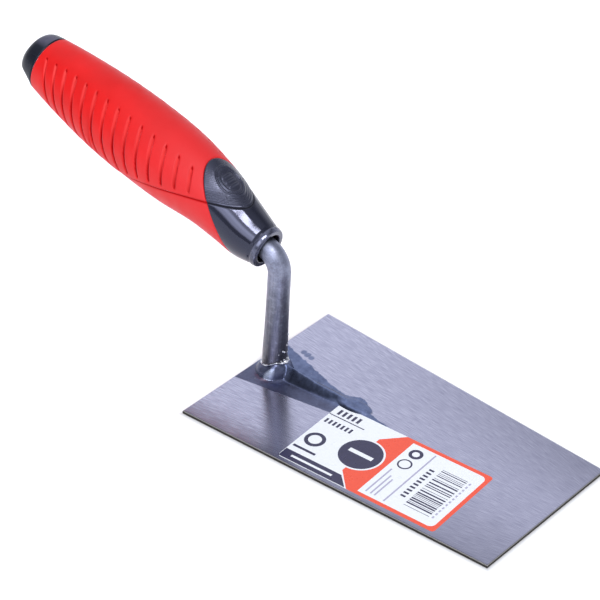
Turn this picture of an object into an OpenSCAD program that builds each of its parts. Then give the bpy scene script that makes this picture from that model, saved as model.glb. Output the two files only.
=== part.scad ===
// Brick trowel with a forged steel blade and a two-material handle.
// The origin is on the blade's underside, below the foot of the shank.
// +X points along the centre line to the toe, +Y to the left edge and +Z up.

/* [Blade] */
// Length from the heel edge to the toe edge
blade_l = 145; // [110:1:200]
// Width of the heel edge
heel_w = 87; // [70:1:120]
// Width of the toe edge
toe_w = 72; // [50:1:100]
// Thickness of the ground plate
blade_t = 1.5; // [1.2:0.1:2.5]
// Distance from the heel edge to the axis of the shank's foot
foot_set = 9; // [8.5:0.5:14]
// Ground chamfer round the upper edge
edge_chamfer = 0.3; // [0.1:0.05:0.6]

/* [Forged rib] */
// Radius of the boss where it meets the plate
boss_r = 7.6; // [7:0.1:8.4]
// Height of the boss above the plate
boss_h = 6.4; // [5:0.1:9]
// Distance from the foot axis to the tip of the rib
rib_reach = 48; // [40:1:70]
// Height of the rib's crest above the plate, half way along
rib_h = 3; // [2:0.1:4]
// Width of the rib's tongue, near its tip
tongue_w = 6; // [4:0.2:10]
// Turn of the rib away from the centre line, in degrees
rib_turn = 4.8; // [-5:0.2:5]

/* [Shank] */
// Diameter of the round bar
shank_d = 9.3; // [8:0.1:11]
// Forward lean of the bar above its foot, in degrees
shank_lean = 3.9; // [0:0.1:8]
// Centre-line radius of the bend
bend_r = 9; // [8:0.5:12]
// Length of straight tang that is held in the handle
tang_l = 72; // [50:1:78]
// Height of the handle's mouth above the underside
mouth_z = 58.8; // [50:0.5:75]
// Distance of the mouth behind the foot axis
mouth_back = 2.4; // [0:0.1:4]
// Rise of the handle's axis towards its butt, in degrees
handle_tilt = 15.4; // [5:0.2:25]

/* [Handle] */
// Thickness of the soft grip
grip_t = 3; // [2:0.1:4]
// Distance from the mouth to the seam between grip and butt cap
butt_seam = 124; // [120:1:126]
// Length of the butt cap behind that seam
cap_l = 9.6; // [8:0.2:12]
// Radius of the scoop under the butt cap
scoop_r = 15; // [13:0.5:16]
// Depth of the wide mouth round the bend of the shank
mouth_depth = 9; // [8:0.5:12]
// Width of the mouth
mouth_d = 12.4; // [11.5:0.1:13]
// Diameter of the hollow behind the tang
hollow_d = 16; // [12:0.5:18]

/* [Label] */
// Length of the label
label_l = 74; // [50:1:90]
// Width of the label
label_w = 40; // [25:1:50]
// Radius of the label's corners
label_corner = 1.5; // [0.5:0.1:4]
// Distance of the label's centre in front of the foot axis
label_x = 72.4; // [60:0.2:80]
// Distance of the label's centre to the right of the centre line
label_side = 17.4; // [15:0.2:22]
// Turn of the label, in degrees
label_turn = 3.4; // [-5:0.2:5]

/* [Hidden] */

fine = 0.01;
fit_gap = 0.1;
bend_overlap = 0.2;
bore_gap = 0.05;
label_t = 0.12;
weld_r = 1.3;
around = 40;
$fn = 64;

heel_x = -foot_set;
toe_x = blade_l - foot_set;
shank_r = shank_d / 2;

// Directions in the plane of symmetry, as [x, z]
lean_dir = [sin(shank_lean), cos(shank_lean)];
axis_dir = [-cos(handle_tilt), sin(handle_tilt)];
mouth_at = [-mouth_back, mouth_z];

// The bar's two straight centre lines meet at the corner of the bend
cross_lean_axis = lean_dir[0] * axis_dir[1] - lean_dir[1] * axis_dir[0];
foot_at = [0, blade_t];
to_mouth = mouth_at - foot_at;
rise_to_corner = (to_mouth[0] * axis_dir[1] - to_mouth[1] * axis_dir[0]) / cross_lean_axis;
corner_at = foot_at + rise_to_corner * lean_dir;
bend_angle = 90 + shank_lean - handle_tilt;
bend_set = bend_r * tan(bend_angle / 2);
bend_start = rise_to_corner - bend_set;
corner_to_mouth = norm(mouth_at - corner_at);
tang_start = bend_set - corner_to_mouth;

// Handle sections: [distance from mouth, half width, half height, rise above the axis]
SECTIONS = [
    [0, 8.0, 8.6, 0.0],
    [10, 10.4, 11.3, 0.4],
    [20, 11.7, 12.9, 2.6],
    [32, 13.2, 14.6, 4.6],
    [50, 15.4, 16.9, 4.9],
    [70, 15.9, 17.4, 4.6],
    [90, 15.2, 16.7, 4.2],
    [110, 13.3, 14.6, 4.1],
    [124, 11.4, 12.5, 4.1],
    [136, 9.2, 10.2, 4.2]
];
last = len(SECTIONS) - 1;

// A smooth curve through column c of the sections
function slope(i, c) =
    let (a = max(i - 1, 0), b = min(i + 1, last))
    (SECTIONS[b][c] - SECTIONS[a][c]) / (SECTIONS[b][0] - SECTIONS[a][0]);
function span_of(s) = max([for (i = [0:last - 1]) if (i == 0 || SECTIONS[i][0] <= s) i]);
function smooth(s, c) =
    let (i = span_of(s), h = SECTIONS[i + 1][0] - SECTIONS[i][0])
    let (u = (s - SECTIONS[i][0]) / h)
    (2 * pow(u, 3) - 3 * pow(u, 2) + 1) * SECTIONS[i][c]
    + (3 * pow(u, 2) - 2 * pow(u, 3)) * SECTIONS[i + 1][c]
    + (pow(u, 3) - 2 * pow(u, 2) + u) * h * slope(i, c)
    + (pow(u, 3) - pow(u, 2)) * h * slope(i + 1, c);

// A point on the handle at distance s and angle a, inset below the outer surface,
// in handle axes: x along the axis from the mouth, y to the left, z up
function handle_point(s, a, inset = 0) = [
    s,
    (smooth(s, 1) - inset) * cos(a),
    (smooth(s, 2) - inset) * sin(a) + smooth(s, 3)
];

// The seam between nose and grip slants: far back on top, close to the mouth below
function nose_seam(a) = 18.5 + 13.5 * sin(a) + 4 * pow(sin(a), 2);

// Distance at angle a, a fraction t of the way from the nose seam to the butt seam
function grip_distance(a, t, front = 0) =
    let (first = nose_seam(a) + front)
    first + (butt_seam - first) * t;

function ring_angle(j) = 360 * j / around;

// One ring of points at a fraction t of the grip, inset below its surface
function grip_ring(t, inset, front = 0) = [
    for (j = [0:around - 1])
        let (a = ring_angle(j))
        handle_point(grip_distance(a, t, front), a, inset)
];
function nose_ring(t, inset) =
    [for (j = [0:around - 1]) handle_point(nose_seam(ring_angle(j)) * t, ring_angle(j), inset)];
function flat_ring(s, inset) = [for (j = [0:around - 1]) handle_point(s, ring_angle(j), inset)];

function joined(rings) = [for (ring = rings) each ring];

// Two triangles for each cell between ring i and ring k
function band(i, k) = [
    for (j = [0:around - 1])
        let (a = i * around + j, b = i * around + (j + 1) % around)
        let (c = k * around + (j + 1) % around, d = k * around + j)
        each [[a, c, b], [a, d, c]]
];

// A closed solid through the rings, with flat ends
module loft(rings) {
    count = len(rings);
    polyhedron(
        points = joined(rings),
        faces = [
            for (i = [0:count - 2]) each band(i, i + 1),
            [for (j = [0:around - 1]) j],
            [for (j = [around - 1:-1:0]) (count - 1) * around + j]
        ],
        convexity = 6
    );
}

// A closed loop of rings, such as a tube wall with its inner and outer faces
module loft_loop(rings) {
    count = len(rings);
    polyhedron(
        points = joined(rings),
        faces = [for (i = [0:count - 1]) each band(i, (i + 1) % count)],
        convexity = 6
    );
}

// Puts a child drawn in handle axes into the part's frame
module in_handle() {
    translate([mouth_at[0], 0, mouth_at[1]])
        rotate([0, handle_tilt, 0])
            mirror([1, 0, 0])
                children();
}

// A round bar along the handle's axis, in handle axes
module axis_bar(d, from, to) {
    translate([from, 0, 0]) rotate([0, 90, 0]) cylinder(d = d, h = to - from);
}

// ---- Blade ----

module blade_outline() {
    polygon([
        [heel_x, -heel_w / 2],
        [toe_x, -toe_w / 2],
        [toe_x, toe_w / 2],
        [heel_x, heel_w / 2]
    ]);
}

// A bar whose face trims the upper corner along the edge from a to b
module edge_cut(a, b) {
    bar = 4;
    edge = b - a;
    translate([a[0], a[1], blade_t - edge_chamfer])
        rotate([0, 0, atan2(edge[1], edge[0])])
            rotate([45, 0, 0])
                translate([-bar, -bar, 0])
                    cube([norm(edge) + 2 * bar, bar * 2, bar]);
}

module plate() {
    difference() {
        linear_extrude(blade_t) blade_outline();
        edge_cut([heel_x, -heel_w / 2], [toe_x, -toe_w / 2]);
        edge_cut([toe_x, -toe_w / 2], [toe_x, toe_w / 2]);
        edge_cut([toe_x, toe_w / 2], [heel_x, heel_w / 2]);
        edge_cut([heel_x, heel_w / 2], [heel_x, -heel_w / 2]);
    }
}

// The boss is a short drum with a coned shoulder, which leans with the bar
module boss() {
    drum_h = boss_h * 0.55;
    drum_top_r = boss_r - 0.6;
    translate([0, 0, blade_t - fine]) cylinder(r1 = boss_r, r2 = drum_top_r, h = drum_h);
    translate([0, 0, blade_t])
        rotate([0, shank_lean, 0])
            translate([0, 0, drum_h - 1])
                cylinder(r1 = drum_top_r, r2 = shank_r + 0.5, h = boss_h - drum_h + 1);
}

// A slice across the rib: wide at its foot and narrow at its crest
module rib_slice(x, foot_w, h) {
    ridge_w = 1.6;
    translate([x, -foot_w / 2, 0]) cube([fine, foot_w, fine]);
    translate([x, -ridge_w / 2, 0]) cube([fine, ridge_w, h]);
}

// The tongue is a low, flat-topped cone
module rib_tongue(x) {
    translate([x, 0, 0]) cylinder(d = tongue_w, h = fine, $fn = 32);
    translate([x, 0, 0]) cylinder(d = tongue_w * 0.5, h = rib_h * 0.62, $fn = 32);
}

// The rib falls steeply from the boss, then gently, and ends in the tongue
module rib() {
    root_x = 3;
    knee_x = 11;
    mid_x = 20;
    tongue_x = rib_reach - tongue_w * 1.1;
    translate([0, 0, blade_t - fine])
        rotate([0, 0, rib_turn]) {
            hull() {
                rib_slice(root_x, 8, boss_h - 0.6);
                rib_slice(knee_x, 7, (rib_h + boss_h) / 2);
            }
            hull() {
                rib_slice(knee_x, 7, (rib_h + boss_h) / 2);
                rib_slice(mid_x, 5.6, rib_h);
            }
            hull() {
                rib_slice(mid_x, 5.6, rib_h);
                rib_tongue(tongue_x);
            }
            hull() {
                rib_tongue(tongue_x);
                translate([rib_reach - 1, 0, 0]) cylinder(r = 1, h = fine, $fn = 32);
            }
        }
}

module blade() {
    color("lightsteelblue") {
        plate();
        boss();
        rib();
    }
}

// ---- Shank ----

// The bend lies in the plane of symmetry and turns from the lean to the handle's axis.
// It is a hair thicker than the straight lengths, which run a little way into it.
module bend() {
    bend_centre = corner_at - bend_set * lean_dir + bend_r * [-lean_dir[1], lean_dir[0]];
    translate([bend_centre[0], 0, bend_centre[1]])
        rotate([90, 0, 0])
            rotate([0, 0, -shank_lean])
                rotate_extrude(angle = bend_angle)
                    translate([bend_r, 0]) circle(r = shank_r + fine);
}

module shank() {
    color("slategray") {
        translate([foot_at[0], 0, foot_at[1]])
            rotate([0, shank_lean, 0])
                translate([0, 0, boss_h])
                    cylinder(d = shank_d, h = bend_start + bend_overlap - boss_h);
        bend();
        in_handle() axis_bar(shank_d, tang_start - bend_overlap, tang_start + tang_l);
    }
}

// The bead that joins the bar to the boss
module shank_weld() {
    color("silver")
        translate([foot_at[0], 0, foot_at[1]])
            rotate([0, shank_lean, 0])
                translate([0, 0, boss_h])
                    rotate_extrude()
                        intersection() {
                            translate([shank_r, weld_r * 0.5]) circle(r = weld_r);
                            translate([shank_r, 0]) square(2 * weld_r);
                        }
}

// ---- Handle ----

module handle_core() {
    inner = grip_t + fit_gap;
    seam_steps = 8;
    body_steps = 14;
    cavity_start = tang_start + tang_l + 2;
    color([0.13, 0.14, 0.16])
        in_handle()
            difference() {
                loft([
                    nose_ring(0, 1.2),
                    nose_ring(0.05, 0.3),
                    for (i = [1:seam_steps]) nose_ring(i / seam_steps, 0),
                    for (i = [0:body_steps]) grip_ring(i / body_steps, inner)
                ]);
                axis_bar(mouth_d, -1, mouth_depth);
                axis_bar(shank_d + 2 * bore_gap, -1, cavity_start + 1);
                axis_bar(hollow_d, cavity_start, butt_seam + 1);
            }
}

module grip() {
    steps = 16;
    color("red")
        in_handle()
            loft_loop([
                for (i = [0:steps]) grip_ring(i / steps, 0, fit_gap),
                for (i = [steps:-1:0]) grip_ring(i / steps, grip_t, fit_gap)
            ]);
}

// The dome's radius shrinks on a rounded curve towards the end
function cap_inset(t) = SECTIONS[last][1] * (1 - pow(1 - pow(t, 4), 1 / 2.5));

module butt_cap() {
    steps = 8;
    spigot_l = 12;
    scoop_set = 13;
    scoop_drop = 9;
    first = butt_seam + fit_gap;
    color([0.13, 0.14, 0.16])
        in_handle()
            union() {
                difference() {
                    loft([
                        for (i = [0:steps])
                            let (t = i / steps)
                            flat_ring(first + (cap_l - fit_gap) * t, cap_inset(t * 0.97))
                    ]);
                    translate([butt_seam + scoop_set, 0, -scoop_drop])
                        rotate([90, 0, 0])
                            cylinder(r = scoop_r, h = 60, center = true);
                }
                axis_bar(hollow_d - 2 * fit_gap, butt_seam - spigot_l, butt_seam + 2);
            }
}

// ---- Label ----

module label() {
    half_l = label_l / 2 - label_corner;
    half_w = label_w / 2 - label_corner;
    color("white")
        translate([label_x, -label_side, blade_t])
            rotate([0, 0, label_turn])
                linear_extrude(label_t)
                    union() {
                        square([2 * half_l, label_w], center = true);
                        square([label_l, 2 * half_w], center = true);
                        for (x = [-half_l, half_l], y = [-half_w, half_w])
                            translate([x, y]) circle(r = label_corner);
                    }
}

blade();
shank();
shank_weld();
handle_core();
grip();
butt_cap();
label();
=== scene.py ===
import math
import random

import bpy
import numpy as np
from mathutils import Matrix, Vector


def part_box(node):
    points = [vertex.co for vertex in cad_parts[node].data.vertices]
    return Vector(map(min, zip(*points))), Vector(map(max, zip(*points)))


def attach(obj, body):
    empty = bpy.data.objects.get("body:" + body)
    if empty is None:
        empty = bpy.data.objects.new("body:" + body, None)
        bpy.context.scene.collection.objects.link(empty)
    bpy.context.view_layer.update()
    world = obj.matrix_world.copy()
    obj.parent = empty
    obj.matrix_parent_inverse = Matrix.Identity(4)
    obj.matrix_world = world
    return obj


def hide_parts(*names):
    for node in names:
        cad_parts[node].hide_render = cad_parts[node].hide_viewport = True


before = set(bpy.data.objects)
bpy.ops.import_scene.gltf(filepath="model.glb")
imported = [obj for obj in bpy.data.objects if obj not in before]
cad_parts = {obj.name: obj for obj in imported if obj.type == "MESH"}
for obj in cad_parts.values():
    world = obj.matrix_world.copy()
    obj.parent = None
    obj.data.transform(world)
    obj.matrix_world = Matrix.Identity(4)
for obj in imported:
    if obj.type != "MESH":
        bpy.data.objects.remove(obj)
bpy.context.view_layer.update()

# Brick trowel: visible pieces, materials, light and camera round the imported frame.
# Lengths are in millimetres until mesh_piece() turns them into metres.
# Handle axes: s runs along the handle from its mouth, h is up from the tang's axis. The angle phi goes
# round the handle from the top.

MM = 0.001
random.seed(12)

# ---- Sizes ----

HANDLE_TILT = math.radians(15.4)
SHANK_LEAN = math.radians(3.9)
BEND_RADIUS = 9.0
TANG_LENGTH = 72.0
BOSS_RADIUS = 7.6
BOSS_HEIGHT = 6.4
RIB_TURN = math.radians(4.8)
RIB_REACH = 48.0
TOE_WIDTH = 72.0
LABEL_TURN = math.radians(3.4)

GRIP_THICKNESS = 3.0
BUTT_SEAM = 124.0
CAP_LENGTH = 9.6
MOUTH_RADIUS = 6.2
MOUTH_DEPTH = 9.0
HOLLOW_RADIUS = 8.0

# [distance from the mouth, half width, half height, rise above the axis]
SECTIONS = np.array([
    [0, 8.0, 8.6, 0.0],
    [10, 10.4, 11.3, 0.4],
    [20, 11.7, 12.9, 2.6],
    [32, 13.2, 14.6, 4.6],
    [50, 15.4, 16.9, 4.9],
    [70, 15.9, 17.4, 4.6],
    [90, 15.2, 16.7, 4.2],
    [110, 13.3, 14.6, 4.1],
    [124, 11.4, 12.5, 4.1],
    [136, 9.2, 10.2, 4.2],
])

# The crease is where this curve, seen from the side, crosses the handle's surface
CREASE_START = 12.0
CREASE_TOP = 12.9
CREASE_DROP = 0.0477
CREASE_POWER = 1.48

# Grip grooves, with angles in degrees from the top. The pitch shrinks with each groove towards the butt,
# and LAST_GROOVE_DROP is how much lower the last one starts.
GROOVES = 14
GROOVE_FIRST = 38.4
GROOVE_PITCH = 6.95
GROOVE_CLOSING = 0.048
GROOVE_SLANT = 0.12
GROOVE_TOP = 35.5
GROOVE_BOTTOM = 155.0
GROOVE_MARGIN = 2.3
GROOVE_HALF_WIDTH = 1.0
GROOVE_DEPTH = 1.1
GROOVE_PIT = 0.5
LAST_GROOVE_DROP = 6.0

# The scoop under the butt cap is a cylinder that lies across the handle. A flange stays at the seam.
SCOOP_CENTRE_S = 131.5
SCOOP_CENTRE_H = -5.2
SCOOP_RADIUS = 8.2
FLANGE = 0.7


def box_mm(node):
    low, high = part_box(node)
    return np.array(low) / MM, np.array(high) / MM


blade_low, blade_high = box_mm("blade")
shank_low, shank_high = box_mm("shank")
label_low, label_high = box_mm("label")
grip_low, grip_high = box_mm("grip")

HEEL_X = blade_low[0]
TOE_X = blade_high[0]
HEEL_WIDTH = blade_high[1] - blade_low[1]
BLADE_TOP = label_low[2]
SHANK_RADIUS = (shank_high[1] - shank_low[1]) / 2
LABEL_CENTRE = (label_low + label_high) / 2


# ---- Small maths ----

def smoothstep(edge0, edge1, x):
    t = np.clip((x - edge0) / (edge1 - edge0), 0.0, 1.0)
    return t * t * (3 - 2 * t)


def smooth_max(a, b, width):
    """The larger of a and b, with the corner rounded over width."""
    gap = np.clip(0.5 + 0.5 * (a - b) / width, 0.0, 1.0)
    return b * (1 - gap) + a * gap + width * gap * (1 - gap)


def value_noise(x, y, seed):
    """Smooth seeded noise from -1 to 1 on arrays, with cells one unit wide."""
    def corner(i, j):
        mixed = np.sin(i * 127.1 + j * 311.7 + seed * 74.7) * 43758.5453
        return 2 * (mixed - np.floor(mixed)) - 1
    i, j = np.floor(x), np.floor(y)
    u, v = x - i, y - j
    u, v = u * u * (3 - 2 * u), v * v * (3 - 2 * v)
    low = corner(i, j) * (1 - u) + corner(i + 1, j) * u
    high = corner(i, j + 1) * (1 - u) + corner(i + 1, j + 1) * u
    return low * (1 - v) + high * v


def rounded_edge(distance, drop, reach):
    """How far a surface falls away near its edge: by drop at the edge, by nothing beyond reach."""
    return drop * np.clip(1 - distance / reach, 0, 1) ** 2


def full_turn(count, start=0.0):
    """Evenly spaced angles once round from start."""
    return np.linspace(start, start + 2 * math.pi, count, endpoint=False)


# ---- Meshes ----

def new_object(name, data):
    """Puts a mesh, camera or light in the scene."""
    made = bpy.data.objects.new(name, data)
    bpy.context.scene.collection.objects.link(made)
    return made


def new_mesh(name, points, faces):
    """A mesh from points in millimetres."""
    mesh = bpy.data.meshes.new(name)
    mesh.from_pydata((np.asarray(points) * MM).tolist(), [], [list(map(int, face)) for face in faces])
    return mesh


def mesh_piece(name, points, faces, material, node, replaces=True, sharp=35.0):
    """A visible piece on the one body, standing for a CAD node. It replaces that node unless told not to.
    """
    mesh = new_mesh(name, points, faces)
    mesh.validate()
    mesh.polygons.foreach_set("use_smooth", [True] * len(mesh.polygons))
    mesh.set_sharp_from_angle(angle=math.radians(sharp))
    mesh.materials.append(material)
    piece = new_object(name, mesh)
    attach(piece, "root")
    if replaces:
        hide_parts(node)
    return piece


def band_faces(rings, around, closed=False):
    """Quads between neighbouring rings. A closed band also joins the last ring to the first."""
    i = np.arange(rings if closed else rings - 1)[:, None]
    j = np.arange(around)[None, :]
    here = i * around
    following = (i + 1) % rings * around
    beside = (j + 1) % around
    quads = np.broadcast_arrays(here + j, here + beside, following + beside, following + j)
    return np.stack(quads, -1).reshape(-1, 4).tolist()


def tube_faces(rings, around):
    """An open band with its first and last rings filled."""
    first = list(range(around))
    last = [(rings - 1) * around + j for j in first]
    return band_faces(rings, around) + [first[::-1], last]


def shifted(faces, start):
    """Faces renumbered for points that begin at start."""
    return [[start + corner for corner in face] for face in faces]


def add_attribute(piece, name, values):
    """One number for each point, for the materials to read."""
    made = piece.data.attributes.new(name, "FLOAT", "POINT")
    made.data.foreach_set("value", np.asarray(values, np.float32).ravel())


# ---- Handle surface ----

def section(s):
    """Half width, half height and rise at distance s, on a smooth curve through SECTIONS."""
    s = np.asarray(s, float)
    knots = SECTIONS[:, 0]
    rows = SECTIONS[:, 1:]
    slopes = np.empty_like(rows)
    slopes[1:-1] = (rows[2:] - rows[:-2]) / (knots[2:] - knots[:-2])[:, None]
    slopes[0] = (rows[1] - rows[0]) / (knots[1] - knots[0])
    slopes[-1] = (rows[-1] - rows[-2]) / (knots[-1] - knots[-2])
    i = np.clip(np.searchsorted(knots, s, side="right") - 1, 0, len(knots) - 2)
    step = (knots[i + 1] - knots[i])[..., None]
    u = (s[..., None] - knots[i][..., None]) / step
    value = (2 * u**3 - 3 * u**2 + 1) * rows[i] + (3 * u**2 - 2 * u**3) * rows[i + 1]
    value += (u**3 - 2 * u**2 + u) * step * slopes[i] + (u**3 - u**2) * step * slopes[i + 1]
    return np.moveaxis(value, -1, 0)


def nose_seam(phi):
    """Where the grip starts, at angle phi from the top."""
    up = np.cos(phi)
    return 18.5 + 13.5 * up + 4 * up**2


def handle_surface(s, phi, inset=0.0):
    """Points [s, y, h] at distance s and angle phi from the top, inset below the outer surface."""
    half_width, half_height, rise = section(s)
    y = (half_width - inset) * np.sin(phi)
    h = (half_height - inset) * np.cos(phi) + rise
    return np.stack(np.broadcast_arrays(s, y, h), -1)


def round_ring(s, radius, phi):
    """A circle of points [s, y, h] round the tang's axis."""
    return np.stack([np.full(phi.shape, s), radius * np.sin(phi), radius * np.cos(phi)], -1)


def turned(points):
    """Points [s, y, h] turned to the part's axes, still measured from the mouth."""
    s, y, h = np.moveaxis(points, -1, 0)
    x = h * math.sin(HANDLE_TILT) - s * math.cos(HANDLE_TILT)
    z = h * math.cos(HANDLE_TILT) + s * math.sin(HANDLE_TILT)
    return np.stack([x, y, z], -1)


def find_mouth():
    """The mouth's place [x, z]: the grip's outer surface has to fill the CAD grip's box."""
    t, phi = np.meshgrid(np.linspace(0, 1, 200), full_turn(72))
    start = nose_seam(phi)
    x, _, z = np.moveaxis(turned(handle_surface(start + (BUTT_SEAM - start) * t, phi)), -1, 0)
    return np.array([grip_low[0] - x.min(), grip_high[2] - z.max()])


MOUTH = find_mouth()


def to_frame(points):
    """From handle axes [s, y, h] to the part's frame."""
    return turned(points) + [MOUTH[0], 0.0, MOUTH[1]]


def crease_distance(s, phi):
    """Distance on the surface from the crease, positive above it."""
    def gap(s, phi):
        run = np.maximum(s - CREASE_START, 0.0)
        return handle_surface(s, phi)[..., 2] - (CREASE_TOP - CREASE_DROP * run**CREASE_POWER)
    step = 0.01
    half_width, half_height, _ = section(s)
    arc = np.hypot(half_width * np.cos(phi), half_height * np.sin(phi))
    along = (gap(s + step, phi) - gap(s - step, phi)) / (2 * step)
    across = (gap(s, phi + step) - gap(s, phi - step)) / (2 * step * arc)
    return gap(s, phi) / np.maximum(np.hypot(along, across), 0.2)


def crease_relief(s, phi):
    """Depth below the surface: the skin below the crease is lower, with a fine groove along it."""
    d = crease_distance(s, phi)
    low_skin = 0.25 * (1 - smoothstep(-0.6, 0.0, d))
    return low_skin + 0.45 * np.exp(-((d + 0.05) / 0.30) ** 2)


def groove_place(s, phi):
    """Where a point stands in the row of grooves.

    Returns the distance across from the nearest groove's middle, the angle from the top in degrees,
    the length of a degree there, and 0 for most grooves rising to 1 at the last."""
    half_width, half_height, _ = section(s)
    folded = np.degrees(np.abs(phi))
    arc = np.hypot(half_width * np.cos(phi), half_height * np.sin(phi)) * math.pi / 180
    shifted = s + GROOVE_SLANT * (folded - GROOVE_TOP) - GROOVE_FIRST
    root = np.sqrt(np.maximum(GROOVE_PITCH**2 - 4 * GROOVE_CLOSING * shifted, 1.0))
    number = np.clip(np.round((GROOVE_PITCH - root) / (2 * GROOVE_CLOSING)), 0, GROOVES - 1)
    lean = np.cos(np.arctan(GROOVE_SLANT / arc))
    across = (shifted - number * (GROOVE_PITCH - GROOVE_CLOSING * number)) * lean
    last = smoothstep(GROOVES - 4, GROOVES - 1, number)
    return across, folded, arc, last


def groove_pit(s, phi):
    """1 in the small pit at each groove's top end, falling to 0 round it."""
    across, folded, arc, last = groove_place(s, phi)
    top = GROOVE_TOP - 1.0 + LAST_GROOVE_DROP * last
    return np.exp(-((np.hypot(across + 0.15, (folded - top) * arc) / GROOVE_PIT) ** 2))


def groove_relief(s, phi):
    """Depth of the slanted grip grooves, which end short of the crease.

    The deepest line lies near the nose side at the top and crosses to the butt side lower down."""
    across, folded, arc, last = groove_place(s, phi)
    deepest = 0.8 * GROOVE_HALF_WIDTH * (smoothstep(45, 95, folded) - 0.5)
    reach = np.where(across > deepest, GROOVE_HALF_WIDTH - deepest, GROOVE_HALF_WIDTH + deepest)
    above = np.maximum(GROOVE_TOP + 2 + LAST_GROOVE_DROP * last - folded, 0) * arc
    below = np.maximum(folded - GROOVE_BOTTOM, 0) * arc
    near_crease = np.maximum(GROOVE_MARGIN - crease_distance(s, phi), 0)
    beyond = np.maximum(np.maximum(above, below), near_crease) / GROOVE_HALF_WIDTH
    distance = np.hypot((across - deepest) / reach, beyond)
    depth = GROOVE_DEPTH * (1 - 0.3 * smoothstep(70, 110, folded))
    slot = depth * (1 - smoothstep(-0.25, 1.0, distance))
    faint = 0.5 * last * (1 - smoothstep(60, 90, folded))
    return np.maximum(slot, 0.55 * groove_pit(s, phi)) * (1 - faint)


def grip_shade(s, phi):
    """0 to 1: how dark the rubber looks low in the grooves, at their top ends and along the crease."""
    folded = np.degrees(np.abs(phi))
    deep = smoothstep(0.20, 0.44, groove_relief(s, phi) / GROOVE_DEPTH)
    low = smoothstep(50, 85, folded)
    pit = smoothstep(0.2, 0.6, groove_pit(s, phi))
    line = np.exp(-((crease_distance(s, phi) + 0.05) / 0.46) ** 2)
    return np.maximum(np.maximum(deep * (0.15 + 0.85 * low), pit), line)


def grip_flank_highlight(s, phi):
    """0 to 1: a painted highlight on the grooves' butt-side slopes, mostly near the top."""
    across, folded, _, _ = groove_place(s, phi)
    depth = groove_relief(s, phi) / GROOVE_DEPTH
    sloped = smoothstep(0.08, 0.28, depth) * (1 - smoothstep(0.45, 0.75, depth))
    upper = 1 - smoothstep(50, 100, folded)
    outside_pit = 1 - smoothstep(0.2, 0.6, groove_pit(s, phi))
    return sloped * upper * smoothstep(-0.5, 0.1, across) * outside_pit


def clustered_angles(rings_s, count, crease_weight, pad_weight):
    """Angles from -pi to pi for each ring, closer together at the crease and on the thumb pad.

    rings_s(phi) gives the ring's distance at each angle."""
    fine = np.linspace(0, math.pi, 721)
    s = rings_s(fine)
    d = crease_distance(s, fine)
    at_crease = crease_weight * np.exp(-(d / 1.4) ** 2)
    density = 1 + at_crease + pad_weight * (1 - smoothstep(0.5, 0.8, fine))
    total = np.concatenate([[0], np.cumsum((density[1:] + density[:-1]) / 2)])
    half = np.interp(np.linspace(0, total[-1], count // 2 + 1), total, fine)
    return np.concatenate([half, -half[-2:0:-1]])


def ring_stack(ring_functions, count, crease_weight=0.0, pad_weight=0.0):
    """Distances and angles for a stack of rings, each given by its function of angle."""
    angles = [clustered_angles(f, count, crease_weight, pad_weight) for f in ring_functions]
    distances = [f(a) for f, a in zip(ring_functions, angles)]
    return np.array(distances), np.array(angles)


# ---- Grip ----

def grip_ring(t, front=0.0):
    def distance(phi):
        first = nose_seam(phi) + front
        return first + (BUTT_SEAM - first) * t
    return distance


def build_grip(material):
    """The red sleeve, a closed tube with the crease and the grooves in its outer skin."""
    around, rings, inner_rings = 210, 400, 12
    seam_gap = 0.12
    s, phi = ring_stack([grip_ring(t, seam_gap) for t in np.linspace(0, 1, rings)], around, 7.0)
    relief = crease_relief(s, phi) + groove_relief(s, phi)
    to_end = np.minimum(s - s[0], s[-1] - s)
    outer = handle_surface(s, phi, relief + rounded_edge(to_end, 0.35, 0.6))
    inner_stack = [grip_ring(t, seam_gap) for t in np.linspace(1, 0, inner_rings)]
    inner_s, inner_phi = ring_stack(inner_stack, around)
    inner = handle_surface(inner_s, inner_phi, GRIP_THICKNESS)
    points = to_frame(np.concatenate([outer, inner])).reshape(-1, 3)
    faces = band_faces(rings + inner_rings, around, closed=True)
    piece = mesh_piece("grip_sleeve", points, faces, material, "grip", sharp=60)
    # Painted shade and a painted highlight, for the rubber's colour to read
    for name, values in (("shade", grip_shade(s, phi)), ("flank_highlight", grip_flank_highlight(s, phi))):
        add_attribute(piece, name, np.concatenate([values.ravel(), np.zeros(inner_s.size)]))


# ---- Core ----

def pad_motif(s, phi):
    """A plain raised oval with three short bars, on top of the thumb pad."""
    y = handle_surface(s, phi)[..., 1]
    centre, half_l, half_w = 25.0, 6.6, 5.0
    radial = np.hypot((s - centre) / half_l, y / half_w)
    to_ring = (radial - 1) * (half_l + half_w) / 2
    ring = np.exp(-(to_ring / 0.36) ** 4) + 0.6 * np.exp(-((to_ring + 1.3) / 0.3) ** 4)
    bars = np.zeros_like(ring)
    for place in (-2.2, 0.0, 2.2):
        beyond = np.maximum(np.abs(y) - 2.0, 0)
        bars = np.maximum(bars, np.exp(-(np.hypot(s - centre - place, beyond) / 0.5) ** 4))
    on_top = np.cos(phi) > 0
    return 0.48 * np.maximum(ring, bars) * on_top


def lip_profile(steps=7):
    """Distance and inset of the flange round the mouth, from its inner edge to the step behind it."""
    profile = []
    edges = ((0.35, 1.72, 0.35, 180, 90), (0.40, 0.28, 0.40, 90, 0))
    for centre_s, centre_inset, radius, first, last in edges:
        turn = np.radians(np.linspace(first, last, steps))
        corner = np.array([[centre_s], [centre_inset]])
        profile.append(corner - radius * np.stack([np.sin(turn), np.cos(turn)]))
    profile.append(np.array([[1.1, 1.75, 1.95, 2.0, 2.15], [-0.12, -0.12, -0.02, 0.25, 0.36]]))
    return np.concatenate(profile, axis=1)


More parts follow.
